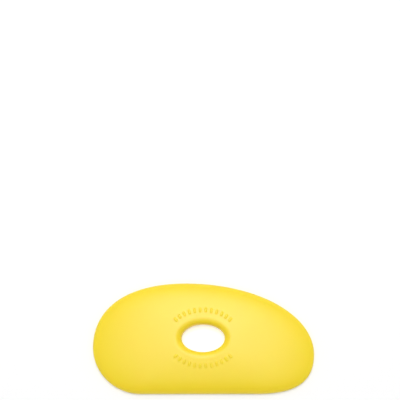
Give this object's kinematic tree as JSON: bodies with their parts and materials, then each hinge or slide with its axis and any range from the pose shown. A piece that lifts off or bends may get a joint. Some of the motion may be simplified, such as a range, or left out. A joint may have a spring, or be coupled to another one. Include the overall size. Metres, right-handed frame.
{
  "type": "pottery rib",
  "caption": "Soft kidney-shaped hand rib for shaping and smoothing clay, with a crowned face, a thin rounded working edge and an oval finger hole.",
  "frame": {"origin": "on the flat back, under the middle of the finger hole, which is the middle of the outline", "axes": "+X along the rib towards its narrow end, +Y towards the highest point of the arched back edge, +Z out of the crowned face"},
  "size_m": [0.127, 0.0636, 0.0091],
  "materials": {
    "cast_polyurethane": "satin"
  },
  "bodies": {
    "root": {"rib": "cast_polyurethane"}
  },
  "joints": []
}
